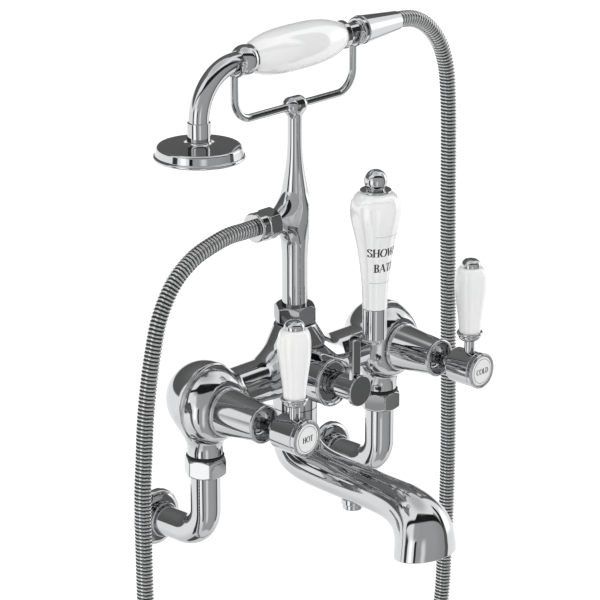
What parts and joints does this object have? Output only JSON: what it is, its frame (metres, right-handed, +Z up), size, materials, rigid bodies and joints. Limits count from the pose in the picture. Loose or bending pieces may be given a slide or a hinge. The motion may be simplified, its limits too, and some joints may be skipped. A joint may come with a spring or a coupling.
{
  "type": "bath shower mixer",
  "caption": "Wall-mounted bath shower mixer in polished chrome with porcelain levers, a swivel diverter, a curved spout and a hand shower resting on a forked cradle.",
  "frame": {"origin": "on the wall plane, midway between the two inlets, on their axes' level", "axes": "+X to the user's right, +Y into the wall, +Z up; the spout points along -Y"},
  "size_m": [0.3854, 0.228, 0.728],
  "materials": {
    "chrome": "mirror polished",
    "porcelain": "glazed",
    "brass": "machined",
    "black_rubber": "smooth",
    "ceramic": "lapped",
    "fibre": "pressed fibre"
  },
  "bodies": {
    "fixture": {"mixer_body": "chrome", "spout": "chrome", "spout_plug": "chrome", "wall_flange_left": "chrome", "wall_flange_right": "chrome", "wall_elbow_left": "chrome", "wall_elbow_right": "chrome", "union_nut_left": "chrome", "union_nut_right": "chrome", "bonnet_left": "chrome", "bonnet_right": "chrome", "diverter_barrel": "chrome", "riser_nut": "chrome", "riser_column": "chrome", "cradle_rod": "chrome", "outlet_nut": "chrome", "shower_hose": "chrome", "flow_straightener": "brass", "cartridge_left": "brass", "cartridge_right": "brass", "diverter_cartridge": "brass", "outlet_tail": "brass", "seal_rings": "black_rubber", "fixed_discs": "ceramic", "diverter_seat": "ceramic", "fibre_washers": "fibre"},
    "hot_lever": {"spindle_left": "brass", "turning_disc_left": "ceramic", "hub_left": "chrome", "hub_screw_left": "brass", "index_left": "porcelain", "lever_stem_left": "chrome", "lever_grip_left": "porcelain", "lever_cap_left": "chrome"},
    "cold_lever": {"spindle_right": "brass", "turning_disc_right": "ceramic", "hub_right": "chrome", "hub_screw_right": "brass", "index_right": "porcelain", "lever_stem_right": "chrome", "lever_grip_right": "porcelain", "lever_cap_right": "chrome"},
    "diverter": {"diverter_stem": "chrome", "diverter_disc": "ceramic", "diverter_end": "chrome", "diverter_arm": "chrome", "diverter_handle": "porcelain", "diverter_finial": "chrome"},
    "handset": {"handset_neck": "chrome", "ball_ferrule": "chrome", "handset_grip": "porcelain", "grip_liner": "brass", "rear_ferrule": "chrome", "rose_collar": "chrome", "rose_shell": "chrome", "spray_plate": "chrome", "cone_nut": "chrome", "handset_tail": "brass"}
  },
  "joints": [
    {"name": "hot_turn", "type": "hinge", "parent": "fixture", "child": "hot_lever", "pos_m": [-0.105, -0.1587, 0.114], "axis": [0, -1, 0], "range_deg": [0, 90]},
    {"name": "cold_turn", "type": "hinge", "parent": "fixture", "child": "cold_lever", "pos_m": [0.105, -0.1587, 0.114], "axis": [0, 1, 0], "range_deg": [0, 90]},
    {"name": "diverter_turn", "type": "hinge", "parent": "fixture", "child": "diverter", "pos_m": [0, -0.13, 0.115], "axis": [0, 1, 0], "range_deg": [-30, 30]},
    {"name": "handset_lift", "type": "slide", "parent": "fixture", "child": "handset", "axis": [0, 0, 1], "range_m": [0, 0.1], "deforming": ["shower_hose"]}
  ]
}
